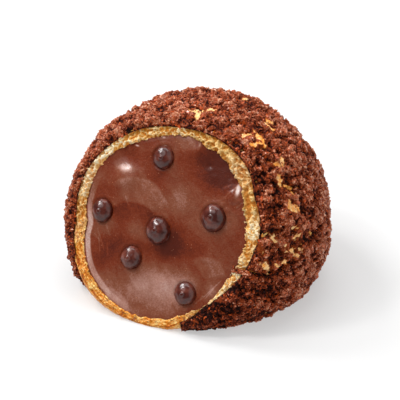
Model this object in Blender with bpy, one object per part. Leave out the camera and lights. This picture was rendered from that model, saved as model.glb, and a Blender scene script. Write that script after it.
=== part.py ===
"""Cream puff: a choux bun under a cocoa biscuit crust, filled with chocolate cream and chocolate drops.

It is sliced open on a slant. +Z is up, the bun stands on the XY plane, centred on the origin, and the
sliced face looks towards -Y and leans back.
"""

from math import asin, atan2, cos, exp, pi, radians, sin

import bmesh
import bpy
from mathutils import Matrix, Vector, noise

MM = 0.001

# The bun: a flattened dome over a fuller underside, which the flat base cuts off.
BUN_RADIUS = 36.4 * MM
WIDEST_HEIGHT = 14.9 * MM
BUN_HEIGHT = 49.4 * MM
UNDER_DEPTH = 26.1 * MM
DOME_POWER = 2.08
UNDER_POWER = 2.40
# Out of round: how many lobes, their size as a share of the radius, and where one points.
LOBES = ((2, 0.018, radians(91)), (3, 0.008, radians(-12)))
# Soft swellings: direction, height and rise.
SWELLS = (
    (radians(-14), 42.0 * MM, 1.2 * MM),
    (radians(-84), 1.4 * MM, 0.6 * MM),
    (radians(-51), 12.0 * MM, -0.5 * MM),
    (radians(38), 29.4 * MM, -0.3 * MM),
    (radians(172), 39.0 * MM, -0.7 * MM),
)
SWELL_SPREAD = 13.0 * MM

# The slice: how far the face leans back, and how far it lies from the middle of the widest level.
CUT_LEAN = radians(27.2)
CUT_DISTANCE = 23.3 * MM
CUTTER_SIDE = 120.0 * MM

# The layers, from the outside in.
CRUST = 1.4 * MM
CRUST_EDGE_SHARE = 0.45
# Where the crust is thicker or thinner than that: direction, height and difference.
CRUST_SWELLS = (
    (radians(-142), 24.0 * MM, 0.9 * MM),
    (radians(-90), 47.0 * MM, -0.6 * MM),
    (radians(-50), 10.0 * MM, 1.2 * MM),
)
WALL = 2.3 * MM
WALL_SWELLS = ((radians(-118), 6.0 * MM, -0.7 * MM),)
FLOOR = 1.3 * MM
GAP = 0.35 * MM
# The crust stops just over the base, and leaves the front left of the base bare.
CRUST_FOOT = 0.9 * MM
FOOT_WAVE = 0.5 * MM
BARE_FROM = radians(-131)
BARE_TO = radians(-71)
BARE_TURN = radians(10)
BARE_TOP = 17.0 * MM
EDGE_TAPER = 5.0 * MM
# Broad mounds on the crust.
MOUND_HEIGHT = 0.9 * MM
MOUND_WIDTH = 9.0 * MM
MOUND_LIFT = 0.25
MOUND_FADE = 1.0 / 6.0

# The cream's face, in the plane of the slice: across, up, spread and rise of each swell in it.
CREAM_SUNK = 0.75 * MM
CREAM_CROWN = 0.7 * MM
CREAM_REACH = 24.0 * MM
FACE_MARGIN = 1.3
CREAM_SWELLS = (
    (-15.0 * MM, -15.0 * MM, 6.5 * MM, 0.35 * MM),
    (13.0 * MM, 15.5 * MM, 4.5 * MM, -1.1 * MM),
    (-8.0 * MM, 4.0 * MM, 6.0 * MM, 0.3 * MM),
    (19.0 * MM, 8.0 * MM, 4.0 * MM, 0.25 * MM),
    (2.0 * MM, -9.0 * MM, 5.0 * MM, -0.3 * MM),
)

# The drops: across and up the slice, and diameter.
DROPS = (
    (-3.9 * MM, 15.8 * MM, 6.3 * MM),
    (-18.1 * MM, -1.4 * MM, 6.4 * MM),
    (-1.2 * MM, -3.1 * MM, 7.1 * MM),
    (13.2 * MM, 3.4 * MM, 7.2 * MM),
    (-7.2 * MM, -11.7 * MM, 6.2 * MM),
    (9.6 * MM, -17.4 * MM, 6.3 * MM),
)
DROP_HEIGHT_SHARE = 0.46
DROP_OVAL = 0.94
DROP_SUNK = 0.8 * MM
DROP_BASE_SHARE = 0.80
DROP_SIDE_SHARE = 0.22
# The dome stops short of its top, where a small nub sits.
DOME_TURN = radians(81)
NUB_RADIUS_SHARE = 0.13
NUB_EDGE_SHARE = 0.6
NUB_RISE = 0.3 * MM

AROUND = 56
SHELL_ROWS = 26
CRUST_ROWS = 28
CREAM_ROWS = 18
FACE_CELLS = 15
DROP_SIDES = 14
DROP_ROWS = 5


def clear_scene():
    for obj in list(bpy.data.objects):
        bpy.data.objects.remove(obj, do_unlink=True)


def material(name, color, roughness):
    made = bpy.data.materials.new(name)
    made.use_nodes = True
    shader = made.node_tree.nodes["Principled BSDF"]
    shader.inputs["Base Color"].default_value = (*color, 1.0)
    shader.inputs["Roughness"].default_value = roughness
    shader.inputs["Metallic"].default_value = 0.0
    return made


def add_object(name, shape, finish=None):
    """Turns a bmesh into a smooth-shaded object; one with no finish is a cutter."""
    mesh = bpy.data.meshes.new(name)
    shape.to_mesh(mesh)
    shape.free()
    obj = bpy.data.objects.new(name, mesh)
    bpy.context.scene.collection.objects.link(obj)
    if finish:
        mesh.materials.append(finish)
        mesh.shade_smooth()
        mesh.set_sharp_from_angle(angle=radians(40))
    else:
        obj.hide_render = True
        obj.display_type = "WIRE"
    return obj


def cut_away(obj, cutter):
    cut = obj.modifiers.new("cut " + cutter.name, "BOOLEAN")
    cut.operation = "DIFFERENCE"
    cut.solver = "EXACT"
    cut.object = cutter


def ease(share):
    """A smooth step from 0 to 1."""
    share = min(1.0, max(0.0, share))
    return share * share * (3.0 - 2.0 * share)


def profile(slope):
    """The turned outline: radius, height and the outward direction where the slope angle is this."""
    tall, power = (BUN_HEIGHT - WIDEST_HEIGHT, DOME_POWER) if slope > 0 else (UNDER_DEPTH, UNDER_POWER)
    across = max(0.0, cos(slope)) ** (2.0 / power)
    rise = abs(sin(slope)) ** (2.0 / power) * (1.0 if slope > 0 else -1.0)
    lean_out = across ** (power - 1.0) / BUN_RADIUS
    lean_up = abs(rise) ** (power - 1.0) / tall * (1.0 if slope > 0 else -1.0)
    length = (lean_out**2 + lean_up**2) ** 0.5
    return BUN_RADIUS * across, WIDEST_HEIGHT + tall * rise, lean_out / length, lean_up / length


def slope_at(height):
    """The slope angle at which the outline passes a height."""
    if height > WIDEST_HEIGHT:
        return asin(((height - WIDEST_HEIGHT) / (BUN_HEIGHT - WIDEST_HEIGHT)) ** (DOME_POWER / 2.0))
    return -asin(((WIDEST_HEIGHT - height) / UNDER_DEPTH) ** (UNDER_POWER / 2.0))


def radius_of(azimuth, radius):
    return radius * (1.0 + sum(size * cos(count * (azimuth - at)) for count, size, at in LOBES))


def swell_at(point, swells):
    total = 0.0
    for azimuth, height, rise in swells:
        radius = profile(slope_at(height))[0]
        centre = Vector((radius * cos(azimuth), radius * sin(azimuth), height))
        total += rise * exp(-(point - centre).length_squared / (2.0 * SWELL_SPREAD**2))
    return total


def bun_point(azimuth, slope, depth=0.0):
    """A point of the bun's surface, moved inwards by depth."""
    radius, height, out, up = profile(slope)
    radius = radius_of(azimuth, radius)
    around = Vector((cos(azimuth), sin(azimuth), 0.0))
    point = around * radius + Vector((0.0, 0.0, height))
    move = swell_at(point, SWELLS) - depth
    return point + (around * out + Vector((0.0, 0.0, up))) * move


def crust_foot(azimuth):
    return CRUST_FOOT + FOOT_WAVE * (sin(5.0 * azimuth) + sin(8.0 * azimuth + 1.0)) / 2.0


def into_bare(azimuth, start):
    """Goes from 0 to 1 over one turn from this far outside each end of the bare front left."""
    return ease((azimuth - BARE_FROM + start) / BARE_TURN) * ease((BARE_TO + start - azimuth) / BARE_TURN)


def thinning(azimuth, slope):
    """The share of its thickness that the crust keeps towards its edges, down to none over the bare part."""
    height = profile(slope)[1]
    at_foot = 1.0 - ease((height - CRUST_FOOT) / EDGE_TAPER)
    low = 1.0 - ease((height - BARE_TOP) / EDGE_TAPER)
    beside = low * into_bare(azimuth, BARE_TURN)
    thinned = (1.0 - CRUST_EDGE_SHARE) * max(at_foot, beside)
    return 1.0 - thinned - CRUST_EDGE_SHARE * low * into_bare(azimuth, 0.0)


def crust_depth(azimuth, slope):
    thick = CRUST + swell_at(bun_point(azimuth, slope), CRUST_SWELLS)
    return thick * thinning(azimuth, slope)


def hollow_depth(azimuth, slope):
    """How deep the pastry's inner skin lies; it doesn't follow the crust's own swellings."""
    wall = WALL + swell_at(bun_point(azimuth, slope), WALL_SWELLS)
    return CRUST * thinning(azimuth, slope) + GAP + wall


def mound(point):
    return MOUND_HEIGHT * (noise.noise(point / MOUND_WIDTH) + MOUND_LIFT)


def turned_body(rows, depth_of, floor):
    """A closed body inside the bun's surface, with a flat floor at this height."""
    shape = bmesh.new()
    bmesh.ops.create_uvsphere(shape, u_segments=AROUND, v_segments=rows, radius=1.0)
    for vert in shape.verts:
        azimuth = atan2(vert.co.y, vert.co.x)
        slope = asin(max(-1.0, min(1.0, vert.co.z)))
        vert.co = bun_point(azimuth, slope, depth_of(azimuth, slope))
    everything = shape.verts[:] + shape.edges[:] + shape.faces[:]
    bmesh.ops.bisect_plane(
        shape, geom=everything, dist=1e-7, plane_co=(0, 0, floor), plane_no=(0, 0, 1), clear_inner=True
    )
    rim = [edge for edge in shape.edges if edge.is_boundary]
    bmesh.ops.contextual_create(shape, geom=rim)
    bmesh.ops.recalc_face_normals(shape, faces=shape.faces)
    return shape


def slice_matrix():
    """Across, up and out of the slice, from the foot of its normal."""
    across = Vector((1.0, 0.0, 0.0))
    out = Vector((0.0, -cos(CUT_LEAN), sin(CUT_LEAN)))
    up = out.cross(across)
    origin = Vector((0.0, 0.0, WIDEST_HEIGHT)) + out * CUT_DISTANCE
    turn = Matrix((across, up, out)).transposed().to_4x4()
    return Matrix.Translation(origin) @ turn


def cream_relief(across, up):
    """How far the cream's face stands out from the slice, mostly a little below it."""
    away = (across**2 + up**2) / CREAM_REACH**2
    height = -CREAM_SUNK + CREAM_CROWN * max(0.0, 1.0 - away)
    for at_across, at_up, spread, rise in CREAM_SWELLS:
        distance = (across - at_across) ** 2 + (up - at_up) ** 2
        height += rise * exp(-distance / (2.0 * spread**2))
    return height


def make_slice_cutter():
    """A block over the part that was sliced off."""
    shape = bmesh.new()
    lift = Matrix.Translation((0.0, 0.0, CUTTER_SIDE / 2.0))
    bmesh.ops.create_cube(shape, size=CUTTER_SIDE, matrix=slice_matrix() @ lift)
    return add_object("slice_cutter", shape)


def make_cream_cutter():
    """The same, with the cream's own uneven face underneath."""
    shape = bmesh.new()
    side = FACE_MARGIN * CREAM_REACH
    bmesh.ops.create_grid(shape, x_segments=FACE_CELLS, y_segments=FACE_CELLS, size=side)
    for vert in shape.verts:
        vert.co.z = cream_relief(vert.co.x, vert.co.y)
    pulled = bmesh.ops.extrude_face_region(shape, geom=shape.faces[:])
    top = [item for item in pulled["geom"] if isinstance(item, bmesh.types.BMVert)]
    for vert in top:
        vert.co.z = CUTTER_SIDE / 2.0
    bmesh.ops.recalc_face_normals(shape, faces=shape.faces)
    bmesh.ops.transform(shape, matrix=slice_matrix(), verts=shape.verts)
    return add_object("cream_cutter", shape)


def make_bare_cutter():
    """A wedge over the part of the base that the crust leaves bare."""
    shape = bmesh.new()
    ends = [Vector((cos(turn), sin(turn), 0.0)) * CUTTER_SIDE for turn in (BARE_FROM, BARE_TO)]
    floor = shape.faces.new([shape.verts.new(point) for point in (Vector((0.0, 0.0, 0.0)), *ends)])
    pulled = bmesh.ops.extrude_face_region(shape, geom=[floor])
    top = [item for item in pulled["geom"] if isinstance(item, bmesh.types.BMVert)]
    bmesh.ops.translate(shape, verts=top, vec=(0.0, 0.0, BARE_TOP + EDGE_TAPER))
    bmesh.ops.translate(shape, verts=shape.verts, vec=(0.0, 0.0, -EDGE_TAPER))
    bmesh.ops.recalc_face_normals(shape, faces=shape.faces)
    return add_object("bare_cutter", shape)


def drop_outline(radius, grow):
    """Half the outline of a drop, from the middle of its base to its tip."""
    height = 2.0 * radius * DROP_HEIGHT_SHARE
    points = [(0.0, -grow), (radius * DROP_BASE_SHARE + grow, -grow)]
    for row in range(DROP_ROWS + 1):
        turn = DOME_TURN * row / DROP_ROWS
        level = height * (DROP_SIDE_SHARE + (1.0 - DROP_SIDE_SHARE) * sin(turn))
        points.append(((radius + grow) * cos(turn), level + grow * sin(turn)))
    points.append((radius * NUB_RADIUS_SHARE + grow, height + NUB_EDGE_SHARE * NUB_RISE + grow))
    points.append((0.0, height + NUB_RISE + grow))
    return points


def make_drop_shape(place, grow=0.0):
    """A turned drop, standing in its place on the cream."""
    across, up, size = place
    shape = bmesh.new()
    verts = [shape.verts.new((x, 0.0, z)) for x, z in drop_outline(size / 2.0, grow)]
    edges = [shape.edges.new(pair) for pair in zip(verts, verts[1:])]
    bmesh.ops.spin(
        shape,
        geom=verts + edges,
        cent=(0, 0, 0),
        axis=(0, 0, 1),
        angle=2.0 * pi,
        steps=DROP_SIDES,
        use_merge=True,
    )
    bmesh.ops.remove_doubles(shape, verts=shape.verts, dist=1e-6)
    bmesh.ops.recalc_face_normals(shape, faces=shape.faces)
    stand = Matrix.Translation((across, up, cream_relief(across, up) - DROP_SUNK))
    oval = Matrix.Diagonal((DROP_OVAL, 1.0, 1.0, 1.0))
    bmesh.ops.transform(shape, matrix=slice_matrix() @ stand @ oval, verts=shape.verts)
    return shape


def make_drops(finish):
    for number, place in enumerate(DROPS, start=1):
        add_object(f"chocolate_drop_{number}", make_drop_shape(place), finish)


def make_pockets():
    """The dents that the drops press into the cream, a little larger than the drops."""
    pockets = []
    for number, place in enumerate(DROPS, start=1):
        pockets.append(add_object(f"pocket_{number}", make_drop_shape(place, GAP)))
    return pockets


def make_crust(cutters, finish):
    """The cocoa biscuit layer: a cap over the bun with an inner and an outer skin."""
    shape = bmesh.new()
    bmesh.ops.create_uvsphere(shape, u_segments=AROUND, v_segments=CRUST_ROWS, radius=1.0)
    below = [vert for vert in shape.verts if vert.co.z < -1e-4]
    bmesh.ops.delete(shape, geom=below, context="VERTS")
    inner = bmesh.ops.duplicate(shape, geom=shape.verts[:] + shape.edges[:] + shape.faces[:])["geom"]
    inner_verts = {item for item in inner if isinstance(item, bmesh.types.BMVert)}
    for vert in shape.verts:
        azimuth = atan2(vert.co.y, vert.co.x)
        share = asin(max(0.0, min(1.0, vert.co.z))) / (pi / 2.0)
        foot = slope_at(crust_foot(azimuth))
        slope = foot + (pi / 2.0 - foot) * share
        if vert in inner_verts:
            vert.co = bun_point(azimuth, slope, max(crust_depth(azimuth, slope), CRUST * CRUST_EDGE_SHARE))
        else:
            point = bun_point(azimuth, slope)
            vert.co = bun_point(azimuth, slope, -mound(point) * ease(share / MOUND_FADE))
    rims = [edge for edge in shape.edges if edge.is_boundary]
    bmesh.ops.bridge_loops(shape, edges=rims)
    bmesh.ops.recalc_face_normals(shape, faces=shape.faces)
    crust = add_object("craquelin_crust", shape, finish)
    for cutter in cutters:
        cut_away(crust, cutter)


def make_shell(cutter, finish):
    """The pastry: the bun under its crust, hollowed for the cream and sliced open."""

    def outside(azimuth, slope):
        return crust_depth(azimuth, slope) + GAP

    shell = add_object("choux_shell", turned_body(SHELL_ROWS, outside, 0.0), finish)
    hollow = add_object("hollow", turned_body(SHELL_ROWS, hollow_depth, FLOOR))
    cut_away(shell, hollow)
    cut_away(shell, cutter)


def make_cream(cutter, pockets, finish):
    def outside(azimuth, slope):
        return hollow_depth(azimuth, slope) + GAP

    cream = add_object("cream_filling", turned_body(CREAM_ROWS, outside, FLOOR + GAP), finish)
    cut_away(cream, cutter)
    for pocket in pockets:
        cut_away(cream, pocket)


def main():
    clear_scene()
    slice_cutter = make_slice_cutter()
    cream_cutter = make_cream_cutter()
    pockets = make_pockets()
    make_shell(slice_cutter, material("choux pastry", (0.72, 0.45, 0.15), 0.7))
    make_crust((slice_cutter, make_bare_cutter()), material("cocoa crust", (0.13, 0.045, 0.02), 0.85))
    make_cream(cream_cutter, pockets, material("chocolate cream", (0.22, 0.07, 0.035), 0.3))
    make_drops(material("dark chocolate", (0.05, 0.025, 0.02), 0.35))


main()
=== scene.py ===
import random
from math import acos, asin, atan2, cos, exp, pi, radians, sin

import bmesh
import bpy
from mathutils import Matrix, Vector, noise


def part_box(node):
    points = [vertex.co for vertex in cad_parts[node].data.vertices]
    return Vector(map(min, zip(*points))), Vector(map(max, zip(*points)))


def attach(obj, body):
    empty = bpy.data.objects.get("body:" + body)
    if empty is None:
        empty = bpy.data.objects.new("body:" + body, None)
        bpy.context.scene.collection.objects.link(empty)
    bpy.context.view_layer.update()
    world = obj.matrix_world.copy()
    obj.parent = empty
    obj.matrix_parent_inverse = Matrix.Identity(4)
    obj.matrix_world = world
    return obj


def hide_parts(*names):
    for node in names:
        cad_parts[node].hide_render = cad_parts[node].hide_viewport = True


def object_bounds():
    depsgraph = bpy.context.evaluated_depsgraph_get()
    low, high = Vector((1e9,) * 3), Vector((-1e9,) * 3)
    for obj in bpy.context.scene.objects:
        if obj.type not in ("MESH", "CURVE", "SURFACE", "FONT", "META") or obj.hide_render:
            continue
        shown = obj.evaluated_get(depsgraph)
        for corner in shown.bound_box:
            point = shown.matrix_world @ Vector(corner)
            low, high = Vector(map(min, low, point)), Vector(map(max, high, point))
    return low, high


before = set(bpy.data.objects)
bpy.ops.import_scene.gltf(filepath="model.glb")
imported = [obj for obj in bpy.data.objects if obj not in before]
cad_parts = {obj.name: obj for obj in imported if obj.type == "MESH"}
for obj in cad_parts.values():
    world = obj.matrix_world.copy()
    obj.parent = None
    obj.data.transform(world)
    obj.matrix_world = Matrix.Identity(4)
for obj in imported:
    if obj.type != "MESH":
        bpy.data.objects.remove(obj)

cadLow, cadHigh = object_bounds()
noise.seed_set(5)
millimetre = 0.001       # shapes are worked out in millimetres and scaled once, when a piece is finished


class settings(dict):
    # a piece's settings, read by name
    __getattr__ = dict.__getitem__


# the bun's own form, the same for every layer

bun = settings(
    radius=36.4, widestHeight=14.9, height=49.4, underDepth=26.1,
    domePower=2.08, underPower=2.40,
    lobes=((2, 0.018, 91), (3, 0.008, -12)),                   # how many, share of the radius, direction
    swells=((-14, 42.0, 1.2), (-84, 1.4, 0.6), (-51, 12.0, -0.5), (38, 29.4, -0.3), (172, 39.0, -0.7)),
    swellSpread=13.0,
    crust=1.4, crustEdgeShare=0.45,
    crustSwells=((-142, 24.0, 0.9), (-90, 47.0, -0.6), (-50, 10.0, 1.2)),
    wall=2.65, wallSwells=((-118, 6.0, -0.7),), floor=1.65,
    footHeight=0.9,
    bareFrom=-131, bareTo=-71, bareTurn=10, bareTop=17.0, edgeTaper=5.0,
)


def ease(share):
    share = min(1.0, max(0.0, share))
    return share * share * (3.0 - 2.0 * share)


def mix(start, end, share):
    return start + (end - start) * share


def noiseAt(point, width, shift=(0.0, 0.0, 0.0)):
    return noise.noise(point / width + Vector(shift))


def pushed(point, pushes):
    # a place moved about by noises, each with a width and a strength
    moved = point
    for width, strength in pushes:
        moved = moved + noise.noise_vector(point / width) * strength
    return moved


def nearestOf(place, width):
    # distances to the nearest and the next centre of a scatter
    return noise.voronoi(place / width)[0][:2]


def clump(distance, reach, level):
    # a rounded lump round a centre, this high over its own foot
    return level - min(1.0, distance / reach) ** 2


def profile(slope):
    # turned outline: radius, height and outward direction
    top = slope > 0
    tall = bun.height - bun.widestHeight if top else bun.underDepth
    power = bun.domePower if top else bun.underPower
    side = 1.0 if top else -1.0
    across = max(0.0, cos(slope)) ** (2.0 / power)
    rise = side * abs(sin(slope)) ** (2.0 / power)
    leanOut = across ** (power - 1.0) / bun.radius
    leanUp = side * abs(rise) ** (power - 1.0) / tall
    length = (leanOut ** 2 + leanUp ** 2) ** 0.5
    return bun.radius * across, bun.widestHeight + tall * rise, leanOut / length, leanUp / length


def slopeAt(height):
    level = height - bun.widestHeight
    if level > 0:
        return asin((level / (bun.height - bun.widestHeight)) ** (bun.domePower / 2.0))
    return -asin((-level / bun.underDepth) ** (bun.underPower / 2.0))


def placeOnBun(azimuth, height):
    # azimuth in degrees, on the plain turned outline
    radius = profile(slopeAt(height))[0]
    return Vector((radius * cos(radians(azimuth)), radius * sin(radians(azimuth)), height))


def swellCentres(swells):
    return [(placeOnBun(azimuth, height), rise) for azimuth, height, rise in swells]


formSwells = swellCentres(bun.swells)
crustSwells = swellCentres(bun.crustSwells)
wallSwells = swellCentres(bun.wallSwells)


def swellAt(point, centres):
    spread = 2.0 * bun.swellSpread ** 2
    return sum(rise * exp(-(point - centre).length_squared / spread) for centre, rise in centres)


def bunPoint(azimuth, slope, depth=0.0):
    # place on the bun, this far under its surface, and the outward direction there
    radius, height, out, up = profile(slope)
    radius *= 1.0 + sum(size * cos(count * (azimuth - radians(at))) for count, size, at in bun.lobes)
    around = Vector((cos(azimuth), sin(azimuth), 0.0))
    point = around * radius + Vector((0.0, 0.0, height))
    outward = around * out + Vector((0.0, 0.0, up))
    return point + outward * (swellAt(point, formSwells) - depth), outward


def intoBare(azimuth, start):
    turn = radians(bun.bareTurn)
    begin = azimuth - radians(bun.bareFrom) + start
    return ease(begin / turn) * ease((radians(bun.bareTo) + start - azimuth) / turn)


def thinning(azimuth, slope):
    height = profile(slope)[1]
    atFoot = 1.0 - ease((height - bun.footHeight) / bun.edgeTaper)
    low = 1.0 - ease((height - bun.bareTop) / bun.edgeTaper)
    edge = bun.crustEdgeShare
    thinned = (1.0 - edge) * max(atFoot, low * intoBare(azimuth, radians(bun.bareTurn)))
    return 1.0 - thinned - edge * low * intoBare(azimuth, 0.0)


def fullAt(point):
    # 0 where the crust thins out to nothing, 1 where it is whole
    slope = slopeAt(max(0.5, min(bun.height - 0.01, point.z)))
    return ease((thinning(atan2(point.y, point.x), slope) - 0.15) / 0.6)


def crustDepth(azimuth, slope):
    point, outward = bunPoint(azimuth, slope)
    return (bun.crust + swellAt(point, crustSwells)) * thinning(azimuth, slope)


def wallDepth(azimuth, slope):
    point, outward = bunPoint(azimuth, slope)
    return bun.crust * thinning(azimuth, slope) + bun.wall + swellAt(point, wallSwells)


def noDepth(azimuth, slope):
    return 0.0


# the slice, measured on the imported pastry: its largest flat face that leans back

def measureSlice(node):
    areas = {}
    for face in node.data.polygons:
        if face.normal.y < -0.5 and face.normal.z > 0.2:
            key = tuple(round(value, 3) for value in face.normal)
            area, place = areas.get(key, (0.0, None))
            areas[key] = (area + face.area, face.center.copy() / millimetre)
    key = max(areas, key=lambda normal: areas[normal][0])
    return Vector(key).normalized(), areas[key][1]


sliceOut, sliceFacePlace = measureSlice(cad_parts["choux_shell"])
sliceOut.x = 0.0
sliceOut.normalize()
sliceAcross = Vector((1.0, 0.0, 0.0))
sliceUp = sliceOut.cross(sliceAcross)
widestMiddle = Vector((0.0, 0.0, bun.widestHeight))
sliceFoot = widestMiddle + sliceOut * (sliceFacePlace - widestMiddle).dot(sliceOut)
leanDegrees, sliceDistance = acos(-sliceOut.y) * 180 / pi, (sliceFoot - widestMiddle).length
print(f"slice leans {leanDegrees:.1f} degrees, {sliceDistance:.2f} mm out")


def onSlice(across, up, out=0.0):
    return sliceFoot + sliceAcross * across + sliceUp * up + sliceOut * out


def sliceDirection(angle, turn):
    # angle from the middle of the slice towards the back, turn round it from the right, anticlockwise
    side = sliceAcross * cos(turn) + sliceUp * sin(turn)
    return sliceOut * cos(angle) + side * sin(angle)


def layerPoint(angle, turn, depthAt):
    direction = sliceDirection(angle, turn)
    azimuth = atan2(direction.y, direction.x)
    slope = asin(max(-1.0, min(1.0, direction.z)))
    return bunPoint(azimuth, slope, depthAt(azimuth, slope))


def sliceEdge(turn, depthAt):
    # the angle at which a layer's skin passes the slice
    near, far = 0.2, 2.2
    for step in range(22):
        middle = (near + far) / 2.0
        point, outward = layerPoint(middle, turn, depthAt)
        if (point - sliceFoot).dot(sliceOut) > 0.0:
            near = middle
        else:
            far = middle
    return (near + far) / 2.0


# pieces

def finishPiece(name, shape, finish, replaced=(), values=None, smooth=True):
    bmesh.ops.scale(shape, vec=(millimetre,) * 3, verts=shape.verts)
    for layers, helper in ((shape.verts.layers.float_vector, "outward"), (shape.verts.layers.float, "share"),
                           (shape.verts.layers.float, "turn")):
        if helper in layers:
            layers.remove(layers[helper])
    mesh = bpy.data.meshes.new(name)
    shape.to_mesh(mesh)
    shape.free()
    mesh.materials.append(finish)
    if smooth:
        mesh.shade_smooth()
    for attributeName, numbers in (values or {}).items():
        attribute = mesh.attributes.new(attributeName, "FLOAT", "POINT")
        attribute.data.foreach_set("value", numbers)
    piece = bpy.data.objects.new(name, mesh)
    bpy.context.scene.collection.objects.link(piece)
    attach(piece, "root")
    if replaced:
        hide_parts(*replaced)
    triangles = sum(len(face.vertices) - 2 for face in mesh.polygons)
    print(f"{name}: {triangles} triangles")
    return piece


def sphereRows(columns, rows, layerNames=()):
    # a closed sphere whose rows and columns are then placed one by one. It is joined up by hand,
    # because bmesh's own sphere puts its faces in another order on each run, and the crumbs with them
    shape = bmesh.new()
    layers = [shape.verts.layers.float.new(name) for name in layerNames]
    shape.verts.layers.float_vector.new("outward")
    rings = [[shape.verts.new() for _ in range(columns if 0 < row < rows else 1)] for row in range(rows + 1)]
    for over, under in zip(rings, rings[1:]):
        for column in range(columns):
            ahead = column + 1
            corners = (over[column % len(over)], under[column % len(under)],
                       under[ahead % len(under)], over[ahead % len(over)])
            shape.faces.new(list(dict.fromkeys(corners)))
    placed = [(vert, row, column) for row, verts in enumerate(rings) for column, vert in enumerate(verts)]
    return shape, placed, layers


# finishes

class wire:
    # one shader value, so that its maths reads as maths
    def __init__(self, sheet, socket):
        self.sheet = sheet
        self.socket = socket

    def maths(self, operation, first, second):
        return self.sheet.node("ShaderNodeMath", {"operation": operation}, {0: first, 1: second})

    def __add__(self, other):
        return self.maths("ADD", self, other)

    def __sub__(self, other):
        return self.maths("SUBTRACT", self, other)

    def __mul__(self, other):
        return self.maths("MULTIPLY", self, other)

    def __rsub__(self, other):
        return self.maths("SUBTRACT", other, self)

    __radd__ = __add__
    __rmul__ = __mul__


class finishSheet:
    def __init__(self, name):
        self.material = bpy.data.materials.new(name)
        self.material.use_nodes = True
        self.tree = self.material.node_tree
        self.shader = self.tree.nodes["Principled BSDF"]

    def node(self, kind, settings=None, sockets=None, output=0):
        made = self.tree.nodes.new(kind)
        for name, value in (settings or {}).items():
            if name == "stops":
                while len(made.color_ramp.elements) < len(value):
                    made.color_ramp.elements.new(0.5)
                for element, (position, colour) in zip(made.color_ramp.elements, value):
                    element.position = position
                    element.color = (*colour, 1.0)
            else:
                setattr(made, name, value)
        for key, value in (sockets or {}).items():
            self.feed(made.inputs[key], value)
        return wire(self, made.outputs[output])

    def feed(self, socket, value):
        if isinstance(value, wire):
            self.tree.links.new(value.socket, socket)
        elif socket.type == "RGBA" and len(value) == 3:
            socket.default_value = (*value, 1.0)
        else:
            socket.default_value = value

    def place(self):
        return self.node("ShaderNodeTexCoord", output=3)

    def noise(self, perMetre, detail=2.0, roughness=0.5, place=None):
        sockets = {"Vector": place or self.place(), "Scale": perMetre, "Detail": detail,
                   "Roughness": roughness}
        return self.node("ShaderNodeTexNoise", {}, sockets)

    def cells(self, perMetre, place=None):
        return self.node("ShaderNodeTexVoronoi", {}, {"Vector": place or self.place(), "Scale": perMetre})

    def bent(self, perMetre, amount):
        # the place, pushed about by a noise
        push = self.node("ShaderNodeTexNoise", {}, {"Vector": self.place(), "Scale": perMetre}, output=1)
        centred = self.node("ShaderNodeVectorMath", {"operation": "SUBTRACT"}, {0: push, 1: (0.5, 0.5, 0.5)})
        scaled = self.node("ShaderNodeVectorMath", {"operation": "SCALE"}, {0: centred, 3: 2.0 * amount})
        return self.node("ShaderNodeVectorMath", {"operation": "ADD"}, {0: self.place(), 1: scaled})

    def painted(self, name):
        return self.node("ShaderNodeAttribute", {"attribute_name": name}, output=2)

    def ramp(self, factor, stops):
        # each stop is a position and a colour as a screen shows it
        stops = [(position, fromScreen(*shown)) for position, *shown in stops]
        return self.node("ShaderNodeValToRGB", {"stops": stops}, {0: factor})

    def mixed(self, factor, first, second, blend="MIX"):
        settings = {"data_type": "RGBA", "blend_type": blend}
        return self.node("ShaderNodeMix", settings, {0: factor, 6: first, 7: second}, output=2)

    def clamped(self, value, low, high, start=0.0, end=1.0):
        sockets = {0: value, 1: low, 2: high, 3: start, 4: end}
        return self.node("ShaderNodeMapRange", {"clamp": True}, sockets)

    def bump(self, height, distance, strength=1.0, under=None):
        sockets = {"Height": height, "Distance": distance, "Strength": strength}
        if under:
            sockets["Normal"] = under
        return self.node("ShaderNodeBump", {}, sockets)

    def wear(self, **sockets):
        names = {"colour": "Base Color", "roughness": "Roughness", "normal": "Normal", "coat": "Coat Weight",
                 "coatRoughness": "Coat Roughness", "subsurface": "Subsurface Weight",
                 "subsurfaceScale": "Subsurface Scale", "subsurfaceRadius": "Subsurface Radius",
                 "specular": "Specular IOR Level", "glow": "Emission Color",
                 "glowStrength": "Emission Strength"}
        for key, value in sockets.items():
            self.feed(self.shader.inputs[names[key]], value)
        return self.material


def fromScreen(red, green, blue):
    # a colour as a screen shows it, 0 to 255, made linear
    shares = [value / 255.0 for value in (red, green, blue)]
    return tuple(share / 12.92 if share <= 0.04045 else ((share + 0.055) / 1.055) ** 2.4 for share in shares)


# how the cut ring strays from the plain form: turn, spread and shift outwards

ring = settings(
    outerShifts=((168, 21, 1.25), (338, 16, 1.45), (5, 8, 0.7), (28, 7, -0.8), (92, 12, -0.5)),
    innerShifts=((88, 9, 1.0), (145, 16, 0.9), (197, 9, -1.15), (225, 14, -0.8), (265, 12, 0.5),
                    (312, 11, 1.35), (335, 10, 0.3), (21, 7, -1.7), (8, 5, -0.6), (43, 8, -1.0)),
    innerAll=0.6, fadeBehind=7.0, leanShare=0.77,
)


def aroundBy(turn, places):
    # sum of soft bumps at places around the ring
    total = 0.0
    for at, spread, size in places:
        away = (turn * 180.0 / pi - at + 180.0) % 360.0 - 180.0
        total += size * exp(-away * away / (2.0 * spread * spread))
    return total


def crustDepthNear(azimuth, slope, turn):
    # the crust's depth, with the ring's own shifts close behind the slice
    behind = (sliceFoot - bunPoint(azimuth, slope)[0]).dot(sliceOut)
    fade = 1.0 - ease(behind / ring.fadeBehind)
    shift = aroundBy(turn, ring.outerShifts) * ring.leanShare * fade if fade else 0.0
    return max(0.0, crustDepth(azimuth, slope) - shift)


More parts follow.
